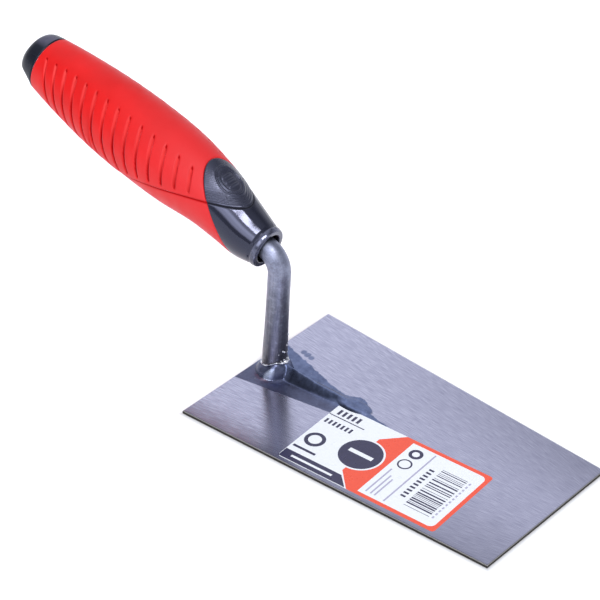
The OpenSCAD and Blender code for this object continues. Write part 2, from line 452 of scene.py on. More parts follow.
def build_core(material):
    """The black nose with its lip and mouth, the body under the grip, and the bore and hollow."""
    around, nose_rings, under_rings = 320, 160, 10
    seam_gap = 0.05
    neck_s, neck_inset = 2.5, 0.30
    pad_edge = 0.25
    rings = []

    def add(s, phi, inset, from_crease=-9.0, lip_highlight=0.0):
        ring = (s, phi, inset, from_crease, lip_highlight)
        rings.append([np.broadcast_to(values, phi.shape) for values in ring])

    lip_s, lip_inset = lip_profile()
    first_phi = clustered_angles(lambda phi: np.full_like(phi, neck_s), around, 3.0, 1.5)
    # upper: the lip's upper side, where its painted highlight lies
    upper = smoothstep(-0.7, 0.3, np.cos(first_phi))
    for s, inset in zip(lip_s, lip_inset):
        add(s, first_phi, inset, lip_highlight=upper)
    for t in np.linspace(0, 1, nose_rings):
        def ring(phi, t=t):
            return neck_s + (nose_seam(phi) - seam_gap - neck_s) * t
        phi = clustered_angles(ring, around, 3.0, 1.5)
        s = ring(phi)
        neck = neck_inset * (1 - smoothstep(neck_s, 3.8, s))
        edge = rounded_edge(nose_seam(phi) - s, 0.3, 0.5)
        from_crease = crease_distance(s, phi)
        pad_round = rounded_edge(from_crease - pad_edge, 0.28, 1.1) * (from_crease > pad_edge)
        add(s, phi, neck + edge + pad_round + crease_relief(s, phi) - pad_motif(s, phi), from_crease)
    for t in np.linspace(0, 1, under_rings):
        phi = clustered_angles(grip_ring(t), around, 0.0, 0.0)
        add(grip_ring(t)(phi), phi, GRIP_THICKNESS + 0.1)
    all_s, all_phi, all_inset, crease, lip = np.array(rings).transpose(1, 0, 2)
    outer = handle_surface(all_s, all_phi, all_inset)
    bore = [
        (BUTT_SEAM, HOLLOW_RADIUS),
        (TANG_END + 2, HOLLOW_RADIUS),
        (TANG_END + 2, SHANK_RADIUS + 0.05),
        (MOUTH_DEPTH, SHANK_RADIUS + 0.05),
        (MOUTH_DEPTH - 0.5, MOUTH_RADIUS),
        (2.4, MOUTH_RADIUS),
    ]
    hole = np.array([round_ring(s, radius, first_phi) for s, radius in bore])
    points = to_frame(np.concatenate([outer, hole])).reshape(-1, 3)
    faces = band_faces(len(outer) + len(hole), around, closed=True)
    piece = mesh_piece("core_body", points, faces, material, "handle_core", sharp=50)
    attributes = (
        ("from_crease", np.clip(crease, -9, 30), 0),
        # lip: a painted highlight on the lip's upper side, which also raises its gloss
        ("lip", lip, 0),
        ("pad", smoothstep(0.0, 0.5, crease), 0),
        # line: painted shade along the crease, and all through the bore
        ("line", np.exp(-(((crease + 0.05) / 0.3) ** 2)), 1),
    )
    for name, values, in_bore in attributes:
        bore_values = np.full(len(hole) * around, in_bore)
        add_attribute(piece, name, np.concatenate([values.ravel(), bore_values]))


# ---- Butt cap ----

def carve(piece, cutter):
    """Cuts one closed mesh out of another and drops the cutter."""
    modifier = piece.modifiers.new("carve", "BOOLEAN")
    modifier.operation = "DIFFERENCE"
    modifier.solver = "EXACT"
    modifier.object = cutter
    bpy.context.view_layer.update()
    evaluated = piece.evaluated_get(bpy.context.evaluated_depsgraph_get())
    carved = bpy.data.meshes.new_from_object(evaluated)
    piece.modifiers.clear()
    piece.data = carved
    bpy.data.objects.remove(cutter)


def loose_mesh(name, rings, around):
    """A closed mesh object from a stack of rings in handle axes, with both ends filled."""
    points = to_frame(np.array(rings)).reshape(-1, 3)
    return new_object(name, new_mesh(name, points, tube_faces(len(rings), around)))


def build_cap(material):
    """A dome, lower than it is wide at its end, with the scoop cut out from below, and the spigot."""
    around, rings, drum_around = 180, 60, 220
    seam_gap, spigot_gap, spigot_length = 0.12, 0.1, 12.0
    squash = 1.9
    phi = full_turn(around, -math.pi)
    first = BUTT_SEAM + seam_gap
    length = CAP_LENGTH - seam_gap
    stack = []
    for t in np.linspace(0, 1, rings):
        run = math.sin(t * math.pi / 2)
        s = first + length * run
        half_width, half_height, rise = section(np.array(s))
        edge = rounded_edge(length * run, 0.3, 0.5)
        shrink = half_width * (1 - (1 - (0.97 * run) ** 5) ** 0.35)
        y = (half_width - shrink - edge) * np.sin(phi)
        h = (half_height - squash * shrink - edge) * np.cos(phi) + rise
        stack.append(np.stack([np.full(around, s), y, h], -1))
    dome = loose_mesh("dome", stack, around)
    turn = full_turn(drum_around)
    drum_s = np.maximum(SCOOP_CENTRE_S + SCOOP_RADIUS * np.cos(turn), BUTT_SEAM + FLANGE)
    drum_h = SCOOP_CENTRE_H + SCOOP_RADIUS * np.sin(turn)
    drum = [np.stack([drum_s, np.full(drum_around, side), drum_h], -1) for side in (-30, 30)]
    carve(dome, loose_mesh("drum", drum, drum_around))
    radius = HOLLOW_RADIUS - spigot_gap
    tip = BUTT_SEAM - spigot_length
    lead_in = 0.4
    spigot = ((tip, radius - lead_in), (tip + lead_in, radius), (BUTT_SEAM + FLANGE / 2, radius))
    plug = loose_mesh("plug", [round_ring(s, r, phi) for s, r in spigot], around)
    points = [np.array(vertex.co) / MM for made in (dome, plug) for vertex in made.data.vertices]
    faces = [list(polygon.vertices) for polygon in dome.data.polygons]
    faces += shifted([polygon.vertices for polygon in plug.data.polygons], len(dome.data.vertices))
    bpy.data.objects.remove(dome)
    bpy.data.objects.remove(plug)
    mesh_piece("end_cap", np.array(points), faces, material, "butt_cap", sharp=40)


# ---- Shank and weld ----

def shank_path():
    """The bar's centre line in [x, z].

    Returns its foot, the directions before and after the bend, the corner where they would meet, the
    angle turned and the distance from the corner to either end of the bend."""
    foot = np.array([0.0, BLADE_TOP])
    lean = np.array([math.sin(SHANK_LEAN), math.cos(SHANK_LEAN)])
    axis = np.array([-math.cos(HANDLE_TILT), math.sin(HANDLE_TILT)])
    cross = lean[0] * axis[1] - lean[1] * axis[0]
    reach = MOUTH - foot
    rise = (reach[0] * axis[1] - reach[1] * axis[0]) / cross
    corner = foot + rise * lean
    turn = math.pi / 2 + SHANK_LEAN - HANDLE_TILT
    bend_set = BEND_RADIUS * math.tan(turn / 2)
    return foot, lean, axis, corner, turn, bend_set


FOOT, LEAN, AXIS, CORNER, BEND_TURN, BEND_SET = shank_path()
TANG_END = BEND_SET - float(np.linalg.norm(MOUTH - CORNER)) + TANG_LENGTH


def round_axis(centre, direction, out, angle, up=0.0):
    """Points round an axis in the plane y = 0: out from it, at an angle from its toe side, up along it."""
    x = centre[0] + out * np.cos(angle) * direction[1] + up * direction[0]
    z = centre[1] - out * np.cos(angle) * direction[0] + up * direction[1]
    return np.stack(np.broadcast_arrays(x, out * np.sin(angle), z), -1)


def bar_stations():
    """Centre [x, z] and direction [x, z] of each ring along the bar."""
    start = FOOT + LEAN * BOSS_HEIGHT / 2
    bend_start = CORNER - LEAN * BEND_SET
    bend_end = CORNER + AXIS * BEND_SET
    tang_end = MOUTH + AXIS * TANG_END
    centre = bend_start + BEND_RADIUS * np.array([-LEAN[1], LEAN[0]])
    stations = [(start + (bend_start - start) * t, LEAN) for t in np.linspace(0, 1, 60, endpoint=False)]
    spoke = bend_start - centre
    for angle in np.linspace(0, BEND_TURN, 40, endpoint=False):
        turn = np.array([[math.cos(angle), -math.sin(angle)], [math.sin(angle), math.cos(angle)]])
        stations.append((centre + turn @ spoke, turn @ LEAN))
    stations += [(bend_end + (tang_end - bend_end) * t, AXIS) for t in np.linspace(0, 1, 30)]
    return stations


def build_shank(material):
    """The round bar with slight dents, thicker at its foot."""
    around = 72
    angle = full_turn(around)
    rings = []
    along = []
    travelled = 0.0
    previous = None
    for centre, direction in bar_stations():
        travelled += 0.0 if previous is None else float(np.linalg.norm(centre - previous))
        previous = centre
        dents = 0.05 * value_noise(np.cos(angle) * 1.5 + travelled * 0.13, np.sin(angle) * 1.5, 3)
        radius = SHANK_RADIUS + dents - 0.05 + upset(travelled)
        rings.append(round_axis(centre, direction, radius, angle))
        along.append(np.full(around, travelled))
    points = np.array(rings).reshape(-1, 3)
    piece = mesh_piece("shank_bar", points, tube_faces(len(rings), around), material, "shank")
    add_attribute(piece, "along", np.array(along) * MM)
    add_attribute(piece, "turn", np.tile(angle / (2 * math.pi), len(rings)))


def upset(travelled):
    """How much thicker the bar's radius is near its foot, where it was pressed into the boss."""
    return 0.45 * (1 - smoothstep(0.0, 34.0, travelled))


def spatter(count=20):
    """Drops of weld metal on the bar's toe side, mostly just above the bead, centred on its surface."""
    points, faces = [], []
    rows, around = 7, 10
    lowest, reach = BOSS_HEIGHT + 0.5, 13.0
    polar = np.linspace(math.pi - 0.12, 0.12, rows)[:, None]
    azimuth = full_turn(around)[None, :]
    across = np.sin(polar)
    ball = [across * np.cos(azimuth), across * np.sin(azimuth), np.cos(polar)]
    ball = np.stack(np.broadcast_arrays(*ball), -1)
    for _ in range(count):
        angle = random.gauss(0.10, 0.45)
        climb = lowest + reach * random.random() ** 2.6
        size = random.uniform(0.24, 0.48)
        out = SHANK_RADIUS - 0.05 + upset(climb)
        centre = round_axis(FOOT + LEAN * climb, LEAN, out, angle)
        faces += shifted(tube_faces(rows, around), len(points))
        points += (centre + size * ball).reshape(-1, 3).tolist()
    return points, faces


def build_weld(material):
    """A hand-laid bead: it swells, has one rough lump on the toe side and carries fine ripples."""
    around, across = 220, 28
    centre = FOOT + LEAN * (BOSS_HEIGHT + 0.1)
    turn = full_turn(around, -math.pi / 2)[:, None]
    roll = -full_turn(across)[None, :]
    lump_turn, lump_spread = 0.20, 0.42
    lump = 0.62 * np.exp(-(((turn - lump_turn) / lump_spread) ** 2)) * (1 + 0.30 * np.sin(17 * turn))
    ripples = 0.06 * np.sin(3 * turn + 0.6) + 0.04 * np.sin(7 * turn) + 0.03 * np.sin(46 * turn)
    swell = 0.42 + lump + ripples
    out = SHANK_RADIUS + 0.5 + swell * np.cos(roll)
    up = 0.9 * swell * np.sin(roll) + BOSS_HEIGHT * (boss_level(turn) - 1)
    points = round_axis(centre, LEAN, out, turn, up).reshape(-1, 3)
    drops, drop_faces = spatter()
    faces = band_faces(around, across, closed=True) + shifted(drop_faces, len(points))
    mesh_piece("weld_bead", np.concatenate([points, drops]), faces, material, "shank_weld")


# ---- Blade ----

def boss_level(angle):
    """The boss's height at each angle as a share of BOSS_HEIGHT: low on one side, crowned on one."""
    low = 0.38 * smoothstep(-0.2, 0.9, np.cos(angle - math.radians(221)))
    crown = 0.17 * np.maximum(np.cos(angle - math.radians(295)), 0) ** 2
    return 1 - low + crown


def boss_height(x, y):
    """A domed drum round the bar's foot, with a fillet into the plate."""
    radius = np.hypot(x, y)
    flat_top = 3.4
    out = np.clip((radius - flat_top) / (BOSS_RADIUS + 0.15 - flat_top), 0, 1)
    dome = BOSS_HEIGHT * boss_level(np.arctan2(y, x)) * (1 - out**2.4) ** 0.66
    flare = 0.8 * (1 - smoothstep(BOSS_RADIUS - 0.6, BOSS_RADIUS + 2.4, radius))
    return smooth_max(dome, flare, 0.4)


def rib_height(x, y):
    """Height of the forged boss, rib and tongue above the plate, with their fillets.

    p runs along the rib from the foot and q across it. The fillets end at cut, which is the plate."""
    cut = 0.23
    p = x * math.cos(RIB_TURN) + y * math.sin(RIB_TURN)
    q = y * math.cos(RIB_TURN) - x * math.sin(RIB_TURN)
    crest = np.interp(p, [0, 6, 14, 22, 30, 37, 44, RIB_REACH], [6.2, 5.9, 4.4, 3.1, 2.4, 2.1, 1.5, 0.0])
    half = np.interp(p, [0, 8, 20, 34, RIB_REACH], [3.6, 3.3, 3.4, 3.3, 1.8])
    from_crest = (np.hypot(q, 0.4) - 0.4) / half
    ridge = smooth_max(crest * (1 - from_crest), np.zeros_like(q), 0.5) * (p > 0)
    radial = np.hypot((p - 39.5) / 8.6, q / 3.9)
    tongue = 1.9 * np.clip(1 - radial**2, 0, 1) ** 0.55
    dish = np.exp(-(np.hypot((p - 40.5) / 4.6, (q - 0.2) / 2.0) ** 2))
    height = smooth_max(boss_height(x - 0.2, y), ridge, 0.9)
    height = smooth_max(height, tongue, 0.5) - 0.75 * dish
    height = np.where(height < cut, 0, height - cut)
    forged = smoothstep(0.1, 1.2, height)
    lumps = 0.10 * value_noise(x * 0.32, y * 0.4, 5) + 0.04 * value_noise(x * 1.1, y * 1.2, 9)
    return height + forged * lumps


def spaced(*stretches):
    """One list of places from stretches (start, end, step)."""
    places = []
    for start, end, step in stretches:
        count = max(1, int(round((end - start) / step)))
        places += list(np.linspace(start, end, count, endpoint=False))
    places.append(stretches[-1][1])
    return np.array(places)


def half_width_at(x):
    """Half the plate's width, which narrows evenly from heel to toe."""
    t = (x - HEEL_X) / (TOE_X - HEEL_X)
    return (HEEL_WIDTH + (TOE_WIDTH - HEEL_WIDTH) * t) / 2


def build_blade(material):
    """The forging: a grid that is fine over boss and rib, and chamfered sides.

    Rows from -1 to 1 fill the band round the middle line, and those beyond spread to the edges."""
    chamfer, lower = 0.35, 0.15
    band = 18.0
    x_places = spaced((HEEL_X + chamfer, 12, 0.22), (12, 52, 0.4), (52, TOE_X - chamfer, 2.0))
    rows = spaced(
        (-2, -1, 0.08), (-1, -0.55, 0.06), (-0.55, 0.55, 0.0122), (0.55, 1, 0.06), (1, 2, 0.08),
    )
    x, row = np.meshgrid(x_places, rows, indexing="ij")
    edge = half_width_at(x) - chamfer
    outer = band + (edge - band) * (np.abs(row) - 1)
    y = np.where(np.abs(row) <= 1, band * row, np.sign(row) * outer)
    z = BLADE_TOP + rib_height(x, y)
    columns, count = x.shape
    top = np.stack([x, y, z], -1).reshape(-1, 3)
    index = np.arange(columns * count).reshape(columns, count)
    quads = np.stack([index[:-1, :-1], index[1:, :-1], index[1:, 1:], index[:-1, 1:]], -1)
    faces = quads.reshape(-1, 4).tolist()
    loop = np.concatenate([index[:, 0], index[-1, 1:], index[-2::-1, -1], index[0, -2:0:-1]])
    rim = top[loop]

    def pushed(out, z):
        """The rim's loop moved out towards the blade's outline, at height z."""
        ring = rim.copy()
        at_heel = np.isclose(rim[:, 0], x_places[0])
        at_toe = np.isclose(rim[:, 0], x_places[-1])
        ring[at_heel, 0] = HEEL_X + chamfer - out
        ring[at_toe, 0] = TOE_X - chamfer + out
        at_side = np.isclose(np.abs(rim[:, 1]), half_width_at(rim[:, 0]) - chamfer)
        ring[at_side, 1] = np.sign(rim[at_side, 1]) * (half_width_at(ring[at_side, 0]) - chamfer + out)
        ring[:, 2] = z
        return ring

    loops = [pushed(chamfer, BLADE_TOP - 0.28), pushed(chamfer, lower), pushed(chamfer - lower, 0.0)]
    points = np.concatenate([top] + loops)
    previous = loop
    start = len(top)
    for ring in loops:
        current = np.arange(start, start + len(ring))
        following = np.roll(previous, -1), np.roll(current, -1)
        faces += np.stack([previous, current, following[1], following[0]], -1).tolist()
        previous = current
        start += len(ring)
    faces.append(previous[::-1].tolist())
    mesh_piece("blade_forging", points, faces, material, "blade", sharp=25)


# ---- Label ----

def circle_outline(u, v, radius, steps=48):
    return [(u + radius * math.cos(a), v + radius * math.sin(a)) for a in full_turn(steps)]


def rounded_outline(u0, v0, u1, v1, radii, steps=8):
    """A rectangle with one radius for each corner, starting at its low-u, low-v corner, turning left."""
    corners = [(u0, v0, 180), (u1, v0, 270), (u1, v1, 0), (u0, v1, 90)]
    outline = []
    for (u, v, start), radius in zip(corners, radii):
        centre_u = u + radius if u == u0 else u - radius
        centre_v = v + radius if v == v0 else v - radius
        turns = np.radians(start + np.linspace(0, 90, steps if radius > 0.01 else 1))
        outline += [(centre_u + radius * math.cos(a), centre_v + radius * math.sin(a)) for a in turns]
    return outline


def bar_outline(u0, v0, u1, v1):
    return [(u0, v0), (u1, v0), (u1, v1), (u0, v1)]


def bar_row(count, step_u, step_v, u0, v0, u1, v1):
    """Equal bars, each one step on from the last."""
    steps = [(i * step_u, i * step_v) for i in range(count)]
    return [bar_outline(u0 + u, v0 + v, u1 + u, v1 + v) for u, v in steps]


def build_print(name, outlines, level, thickness, material, replaces=False):
    """Flat closed plates, one for each outline, at a level above the blade.

    Outlines are in label axes: from the label's middle, u runs towards the toe and v across."""
    c, s = math.cos(LABEL_TURN), math.sin(LABEL_TURN)
    points, faces = [], []
    for outline in outlines:
        start = len(points)
        for z in (level, level + thickness):
            for u, v in outline:
                x = LABEL_CENTRE[0] + u * c - v * s
                y = LABEL_CENTRE[1] + u * s + v * c
                points.append((x, y, BLADE_TOP + z))
        faces += shifted(tube_faces(2, len(outline)), start)
    mesh_piece(name, points, faces, material, "label", replaces, sharp=20)


def build_label(paper, red, dark, grey):
    """A paper sheet with plain shapes and an invented bar pattern printed on it, in thin plates."""
    half_l, half_w = 36.5, 19.75
    border = 1.8
    ink = 0.012
    top = 0.12
    sheet = rounded_outline(-half_l, -half_w, half_l, half_w, [1.4] * 4)
    build_print("label_paper", [sheet], 0.005, top, paper, replaces=True)
    chevron = [(-3.6, half_w), (-11.4, half_w - 8.0), (-11.4, 8.0 - half_w), (-3.6, -half_w)]
    red_field = rounded_outline(-3.6, -half_w, half_l, half_w, [0, 1.4, 1.4, 0])
    build_print("label_red_field", [red_field[1:-1] + chevron], top, ink, red)
    panel = rounded_outline(0.4, -half_w + border, half_l - border, half_w - border, [0, 2.4, 2.4, 0])
    build_print("label_panel", [panel, circle_outline(-11.5, 0.0, 9.6)], top + ink, ink, paper)

    dark_shapes = [
        circle_outline(-11.5, 0.0, 8.8),
        [(-36.3, -half_w + 0.3), (-4.6, -half_w + 0.3), (-9.9, -14.3), (-36.3, -14.3)],
        bar_outline(-36.3, 12.6, -19.5, 13.1),
        circle_outline(-30.8, -3.6, 4.3),
        circle_outline(5.2, 5.6, 3.0),
        circle_outline(5.2, 12.9, 2.9),
        bar_outline(-35.6, -11.6, -25.0, -10.4),
    ]
    dark_shapes += bar_row(5, 2.3, 0, -34.0, 14.2, -32.8, 17.5)
    dark_shapes += bar_row(7, 1.95, 0, -35.2, 7.4, -34.2, 10.1)
    build_print("label_dark_ink", dark_shapes, top + 2 * ink, ink, dark)

    light_shapes = [
        circle_outline(-30.8, -3.6, 2.7),
        circle_outline(5.2, 5.6, 2.3),
        circle_outline(5.2, 12.9, 1.5),
        bar_outline(-17.0, -0.9, -6.0, 1.1),
        bar_outline(-32.0, -17.4, -12.6, -16.3),
    ]
    build_print("label_light_ink", light_shapes, top + 3 * ink, ink, paper)

    code = []
    v = -13.6
    while v < 12.2:
        width = random.choice([0.25, 0.25, 0.5, 0.75])
        code.append(bar_outline(18.6, v, 30.2, v + width))
        v += width + random.choice([0.45, 0.6, 0.9, 1.3])
    code += bar_row(10, 0, 2.05, 14.4, -10.2, 16.7, -9.2)
    build_print("label_code", code, top + 2 * ink, ink, dark)
    strokes = ((2.6, -16.2, 0.4), (4.8, -16.2, -3.0), (6.6, -16.2, -4.5), (11.3, -16.8, 17.0))
    lines = [bar_outline(u, start, u + 0.7, end) for u, start, end in strokes]
    lines += bar_row(12, 0, 2.15, 31.2, -13.4, 32.0, -12.2)
    build_print("label_fine_lines", lines, top + 2 * ink, ink, grey)


# ---- Materials ----

class Graph:
    """Builds one node tree. A value fed to an input is a number, a colour or another node's output."""

    def __init__(self, tree, coordinates):
        self.tree = tree
        tree.nodes.clear()
        self.place = self.node("ShaderNodeTexCoord").outputs[coordinates]

    def feed(self, socket, value):
        if isinstance(value, bpy.types.NodeSocket):
            self.tree.links.new(value, socket)
        elif isinstance(value, (tuple, list)) and len(value) == 3 and socket.type == "RGBA":
            socket.default_value = (*value, 1.0)
        else:
            socket.default_value = value

    def node(self, kind, inputs=None, **settings):
        made = self.tree.nodes.new(kind)
        for key, value in settings.items():
            setattr(made, key, value)
        for key, value in (inputs or {}).items():
            self.feed(made.inputs[key], value)
        return made

    def math(self, operation, a, b=0.0):
        return self.node("ShaderNodeMath", {0: a, 1: b}, operation=operation).outputs[0]

    def plus(self, a, b):
        return self.math("ADD", a, b)

    def minus(self, a, b):
        return self.math("SUBTRACT", a, b)

    def times(self, a, b):
        return self.math("MULTIPLY", a, b)

    def total(self, constant, *terms):
        """A constant and a sum of (value, factor) terms."""
        for value, factor in terms:
            constant = self.plus(constant, self.times(value, factor))
        return constant

    def length(self, x, y):
        vector = self.vector(x, y, 0.0)
        return self.node("ShaderNodeVectorMath", {0: vector}, operation="LENGTH").outputs["Value"]

    def axes(self, vector):
        return self.node("ShaderNodeSeparateXYZ", {0: vector}).outputs

    def vector(self, x, y, z):
        return self.node("ShaderNodeCombineXYZ", {0: x, 1: y, 2: z}).outputs[0]

    def noise(self, scale, detail=3.0, roughness=0.5, at=None):
        inputs = {"Vector": at or self.place, "Scale": scale, "Detail": detail, "Roughness": roughness}
        return self.node("ShaderNodeTexNoise", inputs).outputs["Fac"]

    def ramp(self, value, low, high, out_low=0.0, out_high=1.0):
        """Goes from out_low to out_high while value goes from low to high, and stays within them."""
        inputs = {"Value": value, "From Min": low, "From Max": high, "To Min": out_low, "To Max": out_high}
        return self.node("ShaderNodeMapRange", inputs, clamp=True).outputs[0]

    def mixed(self, kind, first_input, output, factor, a, b):
        inputs = {0: factor, first_input: a, first_input + 1: b}
        return self.node("ShaderNodeMix", inputs, data_type=kind).outputs[output]

    def blend(self, factor, a, b):
        """A number between two numbers."""
        return self.mixed("FLOAT", 2, 0, factor, a, b)

    def blend_normals(self, factor, a, b):
        return self.mixed("VECTOR", 4, 1, factor, a, b)

    def mix(self, factor, a, b):
        """A colour between two colours."""
        return self.mixed("RGBA", 6, 2, factor, a, b)

    def layers(self, colour, *over):
        """A colour with others laid over it in turn, each given as (how much, colour)."""
        for factor, tint in over:
            colour = self.mix(factor, colour, tint)
        return colour

    def attribute(self, name):
        return self.node("ShaderNodeAttribute", attribute_name=name).outputs["Fac"]

    def bump(self, height, distance, strength=1.0, below=None):
        inputs = {"Height": height, "Distance": distance, "Strength": strength}
        if below is not None:
            inputs["Normal"] = below
        return self.node("ShaderNodeBump", inputs).outputs[0]


def new_material(name):
    """An empty material and its graph, whose place is in metres in the part's frame."""
    material = bpy.data.materials.new(name)
    material.use_nodes = True
    return material, Graph(material.node_tree, "Object")


def finish_material(graph, **inputs):
    """The surface shader and output. In the names of inputs, underscores stand for spaces."""
    named = {key.replace("_", " "): value for key, value in inputs.items()}
    shader = graph.node("ShaderNodeBsdfPrincipled", named)
    graph.node("ShaderNodeOutputMaterial", {"Surface": shader.outputs[0]})


def red_rubber():
    """Soft red with a sheen, paler near the nose, with a painted highlight on the grooves' butt-side slopes
    and painted shade in the grooves.
    """
    material, g = new_material("red_rubber")
    mottle = g.noise(90.0)
    fine = g.noise(2600.0, 2.0, 0.6)
    shade = g.attribute("shade")
    colour = g.layers(
        (0.535, 0.0022, 0.002),
        (g.ramp(mottle, 0.35, 0.68), (0.60, 0.003, 0.003)),
        (g.ramp(g.axes(g.place)[0], -0.080, -0.030, 0.0, 0.95), (0.550, 0.018, 0.020)),
        # painted highlight on the grooves' butt-side slopes
        (g.times(g.attribute("flank_highlight"), 0.6), (0.72, 0.045, 0.040)),
        (shade, (0.30, 0.0, 0.001)),
    )
    roughness = g.ramp(g.noise(160.0, 4.0), 0.3, 0.7, 0.42, 0.56)
    relief = g.bump(fine, 0.00006, 0.35)
    finish_material(g, Base_Color=colour, Roughness=roughness, Normal=relief,
                    Specular_IOR_Level=g.blend(shade, 0.25, 0.02),
                    Sheen_Weight=0.55, Sheen_Roughness=0.16, Sheen_Tint=(0.80, 0.74, 1.0))
    return material


def black_plastic():
    """Gloss on the nose, satin with fine cross ridges on the thumb pad, dull and in painted shade in the
    crease and the bore, with a painted highlight on the lip's upper side.
    """
    material, g = new_material("black_plastic")
    pad = g.attribute("pad")
    line = g.attribute("line")
    lip = g.attribute("lip")
    waves = g.noise(70.0, 2.0)
    fine = g.noise(2200.0, 2.0, 0.6)
    ridges = g.math("SINE", g.times(g.attribute("from_crease"), 2 * math.pi / 1.05))
    smears = g.ramp(g.noise(120.0, 4.0, 0.6), 0.42, 0.80, 0.0, 0.07)
    roughness = g.plus(g.blend(pad, 0.09, 0.26), smears)
    relief = g.bump(waves, 0.0006, 0.3)
    relief = g.bump(fine, 0.00005, g.blend(pad, 0.12, 0.5), relief)
    near = g.ramp(g.attribute("from_crease"), 3.5, 6.5, 0.8, 0.15)
    relief = g.bump(ridges, 0.00009, g.times(pad, near), relief)
    colour = g.layers(
        (0.005, 0.0055, 0.011),
        (g.ramp(g.noise(40.0), 0.3, 0.7), (0.008, 0.009, 0.017)),
        # painted highlight on the lip's upper side
        (g.times(lip, g.ramp(g.noise(500.0), 0.3, 0.6)), (0.060, 0.064, 0.095)),
        # painted shade along the crease and in the bore
        (line, (0.003, 0.003, 0.004)),
    )
    level = g.blend(lip, g.blend(pad, 0.65, 0.86), 1.0)
    finish_material(g, Base_Color=colour, Roughness=g.blend(line, roughness, 0.7), Normal=relief,
                    Specular_IOR_Level=g.blend(line, level, 0.15), Specular_Tint=(0.70, 0.73, 1.0))
    return material


def satin_plastic():
    """Dull black for the butt cap, with a painted highlight on what faces up."""
    material, g = new_material("satin_black_plastic")
    fine = g.noise(1800.0, 3.0, 0.6)
    colour = g.mix(g.ramp(g.noise(60.0), 0.3, 0.7), (0.004, 0.0055, 0.010), (0.007, 0.009, 0.015))
    upright = g.axes(g.node("ShaderNodeNewGeometry").outputs["Normal"])[2]
    # painted highlight on the faces that point up
    top_highlight = g.times(g.ramp(upright, 0.86, 0.99), g.ramp(g.noise(300.0), 0.3, 0.6, 0.6, 1.0))
    colour = g.mix(top_highlight, colour, (0.070, 0.068, 0.105))
    roughness = g.ramp(g.noise(150.0, 4.0), 0.3, 0.7, 0.24, 0.38)
    finish_material(g, Base_Color=colour, Roughness=roughness, Normal=g.bump(fine, 0.00005, 0.5),
                    Specular_IOR_Level=0.22, Specular_Tint=(0.80, 0.84, 1.0))
    return material


def scale_zone(g, x, y):
    """1 where the blade keeps its dark forging skin: a wedge from the heel that closes at its point.

    Its far edge bulges beside the rib's tongue, and three small smudges lie beside the boss."""
    tongue_x, tongue_reach, bulge_depth = 0.0395, 0.0059, 0.0048
    edge_blur, smudge_blur = 0.00018, 0.0003
    ragged = g.ramp(g.noise(210.0, 4.0, 0.6), 0.0, 1.0, -0.0011, 0.0011)
    fray = g.ramp(g.noise(900.0, 2.0), 0.0, 1.0, -0.0005, 0.0005)
    above_near = g.total(0.01235, (y, 1.0), (x, -0.172), (fray, 0.6))
    far_edge = g.math("MAXIMUM", g.total(0.0142, (x, -0.267)), g.total(0.0089, (x, -0.122)))
    off = g.times(g.minus(x, tongue_x), 1 / tongue_reach)
    bulge = g.math("EXPONENT", g.times(g.times(off, off), -1.0))
    below_far = g.total(far_edge, (bulge, bulge_depth), (y, -1.0), (ragged, 1.0), (fray, 1.0))
    zone = g.ramp(g.math("MINIMUM", above_near, below_far), -edge_blur, edge_blur)
    smudges = ((0.0014, 0.0166, 0.0013), (0.0038, 0.0162, 0.0015), (0.0062, 0.0156, 0.0014))
    for spot_x, spot_y, radius in smudges:
        from_spot = g.total(g.length(g.minus(x, spot_x), g.minus(y, spot_y)), (ragged, 0.5))
        smudge = g.ramp(from_spot, radius - smudge_blur, radius + smudge_blur, 0.85, 0.0)
        zone = g.math("MAXIMUM", zone, smudge)
    return zone


def ground_colour(g, x, y, marks, fine):
    """Pale ground steel with its marks, and painted shade along one side and towards the toe's corners."""
    side_shade = g.ramp(g.total(0.043, (y, 1.0), (x, -0.0517)), 0.0, 0.012, 0.50, 0.0)
    off_middle = g.ramp(g.math("ABSOLUTE", y), 0.008, 0.034)
    toe_shade = g.times(g.ramp(x, 0.01, 0.13), g.total(0.15, (off_middle, 0.28)))
    return g.layers(
        (0.375, 0.38, 0.505),
        (g.ramp(marks, 0.33, 0.67), (0.590, 0.595, 0.735)),
        (g.ramp(fine, 0.42, 0.66, 0.0, 0.55), (0.37, 0.37, 0.49)),
        (g.ramp(g.noise(45.0), 0.35, 0.7, 0.0, 0.25), (0.44, 0.44, 0.575)),
        # painted shade along the near side and towards the toe's corners
        (g.math("MAXIMUM", side_shade, toe_shade), (0.05, 0.052, 0.078)),
    )


def skin_colour(g, x, y, skin_noise, normal_y, upright):
    """Blue-black forging skin with glints, painted shade on its sloping sides and on the flanks that face
    the near side, and a painted highlight by the boss.
    """
    glints = g.ramp(g.noise(900.0, 2.0), 0.70, 0.76)
    from_foot = g.length(x, y)
    # painted shade on sloping faces, weaker on the boss
    steep_shade = g.times(g.ramp(upright, 0.55, 0.96, 0.72, 0.0), g.ramp(from_foot, 0.0078, 0.0095, 0.62, 1.0))
    # painted shade on the flanks that face the near side, away from the boss
    near_flank_shade = g.times(g.ramp(normal_y, -0.30, -0.60), g.ramp(from_foot, 0.0085, 0.0105, 0.0, 0.6))
    # a painted highlight on the boss's fillet, in a long oval
    highlight_length, highlight_width = 0.0031, 0.0011
    along_highlight = g.total(0.0026, (x, 0.75), (y, 0.66))
    across_highlight = g.total(-0.0069, (x, 0.66), (y, -0.75))
    from_highlight = g.length(g.times(along_highlight, 1 / highlight_length), g.times(across_highlight, 1 / highlight_width))
    return g.layers(
        (0.095, 0.120, 0.215),
        (g.ramp(skin_noise, 0.32, 0.70), (0.195, 0.240, 0.400)),
        (g.times(glints, 0.5), (0.45, 0.47, 0.58)),
        (g.ramp(y, -0.0035, 0.0005, 0.40, 0.0), (0.072, 0.050, 0.055)),
        (steep_shade, (0.030, 0.036, 0.062)),
        (near_flank_shade, (0.012, 0.014, 0.022)),
        (g.ramp(from_highlight, 0.4, 1.05, 0.50, 0.0), (0.60, 0.67, 0.82)),
    )


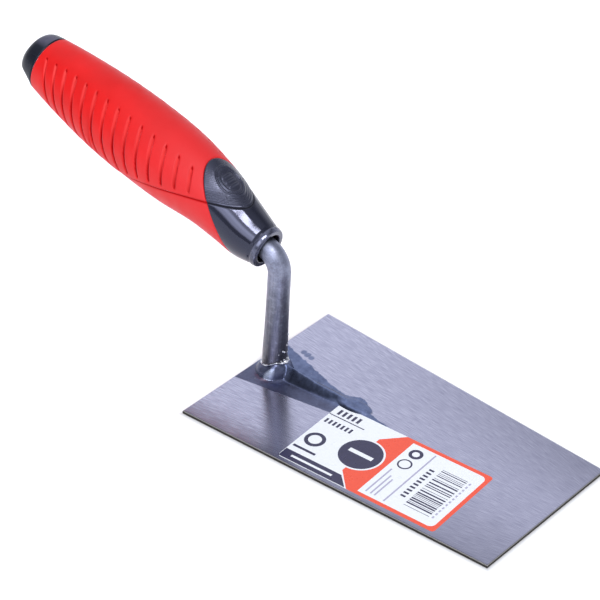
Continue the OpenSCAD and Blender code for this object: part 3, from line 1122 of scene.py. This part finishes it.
def blade_steel():
    """Ground plate with short fanned grinding marks, and the dark forged skin round the rib."""
    material, g = new_material("ground_and_forged_steel")
    x, y, z = g.axes(g.place)
    grinding_hub_x = 0.26
    away = g.minus(grinding_hub_x, x)
    distance = g.length(away, y)
    bearing = g.math("ARCTAN2", y, away)
    marks_at = g.vector(g.times(bearing, 520.0), g.times(distance, 150.0), 0.0)
    fine_at = g.vector(g.times(bearing, 1300.0), g.times(distance, 260.0), 3.0)
    marks = g.noise(1.0, 2.0, 0.6, marks_at)
    fine = g.noise(1.0, 2.0, 0.6, fine_at)
    scale = scale_zone(g, x, y)
    lift = g.math("MAXIMUM", scale, g.ramp(z, (BLADE_TOP + 0.12) * MM, (BLADE_TOP + 0.35) * MM))
    skin_noise = g.noise(260.0, 5.0, 0.65)
    _, normal_y, upright = g.axes(g.node("ShaderNodeNewGeometry").outputs["Normal"])
    ground = ground_colour(g, x, y, marks, fine)
    skin = skin_colour(g, x, y, skin_noise, normal_y, upright)
    sheared = g.mix(g.ramp(upright, 0.25, 0.60), (0.050, 0.047, 0.042), (0.30, 0.29, 0.28))
    rim = g.ramp(z, (BLADE_TOP - 0.06) * MM, (BLADE_TOP - 0.02) * MM, 1.0, 0.0)
    colour = g.layers(ground, (lift, skin), (rim, sheared))
    ground_rough = g.ramp(marks, 0.3, 0.7, 0.24, 0.18)
    skin_rough = g.times(g.ramp(skin_noise, 0.3, 0.7, 0.30, 0.46), g.ramp(upright, 0.5, 0.9, 0.75, 1.0))
    roughness = g.blend(rim, g.blend(lift, ground_rough, skin_rough), 0.5)
    ground_bump = g.bump(g.total(marks, (fine, 0.5)), 0.00001, 0.55)
    skin_bump = g.bump(skin_noise, 0.00025, 0.5)
    normal = g.blend_normals(lift, ground_bump, skin_bump)
    along = g.vector(away, g.times(y, -1.0), 0.0)
    finish_material(g, Base_Color=colour, Metallic=1.0, Roughness=roughness, Normal=normal,
                    Anisotropic=g.blend(lift, 0.35, 0.0), Tangent=along)
    return material


def bar_steel():
    """Dark drawn bar with streaks along its length, and a painted highlight on the bend."""
    material, g = new_material("drawn_dark_steel")
    along = g.attribute("along")
    turn = g.times(g.attribute("turn"), 2 * math.pi)
    round_x = g.math("COSINE", turn)
    round_y = g.math("SINE", turn)

    def lengthwise(around, lengthways, detail, roughness):
        """Noise drawn out along the bar, with one scale round it and another along it."""
        at = g.vector(g.times(round_x, around), g.times(round_y, around), g.times(along, lengthways))
        return g.noise(1.0, detail, roughness, at)

    streaks = lengthwise(6.0, 60.0, 4.0, 0.65)
    hair = lengthwise(42.0, 240.0, 3.0, 0.5)
    pits = g.noise(700.0, 3.0, 0.6)
    grain = g.ramp(g.noise(1300.0, 2.0, 0.7), 0.35, 0.65)
    z = g.axes(g.place)[2]
    mottle = g.noise(380.0, 4.0, 0.62)
    colour = g.layers(
        (0.11, 0.118, 0.150),
        (g.ramp(streaks, 0.32, 0.68), (0.21, 0.22, 0.275)),
        (g.ramp(hair, 0.40, 0.75, 0.0, 0.25), (0.10, 0.105, 0.14)),
        # painted highlight on the bend, high up the bar
        (g.ramp(z, 0.036, 0.050, 0.0, 0.40), (0.37, 0.40, 0.55)),
        (g.ramp(z, 0.008, 0.030, 0.60, 0.0), (0.105, 0.092, 0.085)),
        (g.ramp(mottle, 0.50, 0.66, 0.0, 0.38), (0.075, 0.080, 0.115)),
        (g.ramp(mottle, 0.44, 0.32, 0.0, 0.35), (0.36, 0.38, 0.46)),
        (g.times(grain, 0.22), (0.05, 0.05, 0.07)),
    )
    roughness = g.plus(g.ramp(streaks, 0.3, 0.7, 0.43, 0.34), g.ramp(z, 0.036, 0.050, 0.0, 0.04))
    relief = g.bump(hair, 0.00006, 0.5)
    relief = g.bump(pits, 0.00006, 0.4, relief)
    finish_material(g, Base_Color=colour, Metallic=1.0, Roughness=roughness, Normal=relief)
    return material


def weld_metal():
    """Bright lumpy metal with darker burnt patches."""
    material, g = new_material("weld_metal")
    lumps = g.noise(700.0, 3.0, 0.6)
    colour = g.mix(g.ramp(g.noise(450.0, 4.0), 0.38, 0.58), (0.17, 0.18, 0.225), (0.80, 0.82, 0.88))
    roughness = g.ramp(lumps, 0.3, 0.7, 0.18, 0.42)
    relief = g.bump(lumps, 0.0002, 0.6)
    finish_material(g, Base_Color=colour, Metallic=1.0, Roughness=roughness, Normal=relief)
    return material


def printed(name, light, deep, roughness=0.30):
    """Ink or bare paper under a gloss film, with a faint fibre mottle."""
    material, g = new_material(name)
    fibres = g.noise(1500.0, 3.0, 0.7)
    colour = g.mix(g.ramp(fibres, 0.35, 0.65), deep, light)
    rough = g.ramp(g.noise(220.0), 0.3, 0.7, roughness - 0.05, roughness + 0.08)
    relief = g.bump(g.noise(110.0, 2.0), 0.00008, 0.4)
    finish_material(g, Base_Color=colour, Roughness=rough, Normal=relief,
                    Coat_Weight=0.15, Coat_Roughness=0.2)
    return material


def floor_paint():
    """Pale paper that glows faintly, with a painted contact shadow in a thin band where the blade's edge
    rests on it: darker there and not glowing.
    """
    material, g = new_material("floor_paper")
    x, y, _ = g.axes(g.place)
    narrowing = (HEEL_WIDTH - TOE_WIDTH) / 2 / (TOE_X - HEEL_X)
    past_side = g.total(-half_width_at(0.0) * MM, (g.math("ABSOLUTE", y), 1.0), (x, narrowing))
    past_end = g.math("MAXIMUM", g.minus(HEEL_X * MM, x), g.minus(x, TOE_X * MM))
    # painted contact shadow round the blade's outline, 3 mm wide
    clear = g.ramp(g.math("MAXIMUM", past_side, past_end), 0.0, 0.0030)
    shade = g.ramp(g.noise(3.0, 2.0), 0.3, 0.7, 0.94, 0.96)
    shade = g.times(shade, g.blend(clear, 0.60, 1.0))
    finish_material(g, Base_Color=g.vector(shade, shade, shade), Roughness=0.9, Specular_IOR_Level=0.1,
                    Emission_Color=(1.0, 1.0, 1.0), Emission_Strength=g.blend(clear, 0.0, 0.13))
    return material


# ---- Stage ----

VIEW_AZIMUTH = math.radians(41.54)
VIEW_ELEVATION = math.radians(35.40)
VIEW_DISTANCE = 990.5
VIEW_TARGET = np.array([-24.1, 42.9, 1.5])
LENS_MM = 142.5
SENSOR_MM = 36.0
LIGHT_TARGET = np.array([0.0, 0.0, 60.0])


def look_along(azimuth, elevation):
    """Unit vector from the object to a viewer: azimuth 0 stands on the -Y side."""
    return np.array([
        math.sin(azimuth) * math.cos(elevation),
        -math.cos(azimuth) * math.cos(elevation),
        math.sin(elevation),
    ])


def aim(thing, target):
    """Turns a camera or light at a target in millimetres."""
    direction = Vector(target * MM) - thing.location
    thing.rotation_euler = direction.to_track_quat("-Z", "Y").to_euler()


def add_camera():
    data = bpy.data.cameras.new("view")
    data.lens = LENS_MM
    data.sensor_width = SENSOR_MM
    data.clip_end = 20
    camera = new_object("view", data)
    camera.location = (VIEW_TARGET + look_along(VIEW_AZIMUTH, VIEW_ELEVATION) * VIEW_DISTANCE) * MM
    aim(camera, VIEW_TARGET)
    bpy.context.scene.camera = camera


def add_softbox(name, azimuth, elevation, distance, size, watts, roll=0.0):
    """A rectangular light that faces the trowel, with its distance and size in millimetres."""
    data = bpy.data.lights.new(name, "AREA")
    data.shape = "RECTANGLE"
    data.size, data.size_y = size[0] * MM, size[1] * MM
    data.energy = watts
    light = new_object(name, data)
    light.location = look_along(math.radians(azimuth), math.radians(elevation)) * distance * MM
    aim(light, LIGHT_TARGET)
    light.rotation_euler.rotate_axis("Z", math.radians(roll))


def add_world():
    """A pale studio room with dim corners, a soft light overhead and a bright window low in front."""
    world = bpy.data.worlds.new("studio")
    world.use_nodes = True
    g = Graph(world.node_tree, "Generated")
    strength = 1.08
    # azimuth, elevation, cosine at the patch's outer and inner edge, change in strength
    patches = (
        (-45, 34, 0.66, 0.94, -0.65),
        (140, 56, 0.66, 0.94, -0.75),
        (15, 26, 0.955, 0.985, 4.2),
        (23, 41, 0.95, 0.985, 1.8),
        (6, 7, 0.975, 0.992, -0.6),
        (0, 90, 0.70, 0.95, 0.6),
    )
    for azimuth, elevation, outer, inner, change in patches:
        patch = look_along(math.radians(azimuth), math.radians(elevation)).tolist()
        facing = g.node("ShaderNodeVectorMath", {0: g.place, 1: patch}, operation="DOT_PRODUCT")
        strength = g.plus(strength, g.ramp(facing.outputs["Value"], outer, inner, 0.0, change))
    background = g.node("ShaderNodeBackground", {"Color": (0.90, 0.92, 1.0), "Strength": strength})
    g.node("ShaderNodeOutputWorld", {"Surface": background.outputs[0]})
    bpy.context.scene.world = world


def add_floor():
    half = 4000.0
    corners = [(-half, -half, 0), (half, -half, 0), (half, half, 0), (-half, half, 0)]
    mesh = new_mesh("floor", corners, [(0, 1, 2, 3)])
    mesh.materials.append(floor_paint())
    floor = new_object("floor", mesh)
    floor.location.z = (blade_low[2] - 0.05) * MM


def add_stage():
    add_camera()
    add_world()
    add_floor()
    add_softbox("key", azimuth=55, elevation=59, distance=2400, size=(1250, 250), watts=25, roll=28)
    bpy.context.scene.view_settings.view_transform = "Standard"


# ---- Build ----

build_blade(blade_steel())
build_shank(bar_steel())
build_weld(weld_metal())
build_core(black_plastic())
build_grip(red_rubber())
build_cap(satin_plastic())
build_label(
    printed("label_white", (0.695, 0.720, 0.745), (0.655, 0.680, 0.715)),
    printed("label_red", (0.71, 0.069, 0.025), (0.66, 0.057, 0.021)),
    printed("label_dark", (0.020, 0.018, 0.062), (0.013, 0.012, 0.044)),
    printed("label_grey", (0.36, 0.35, 0.46), (0.30, 0.29, 0.40)),
)
add_stage()
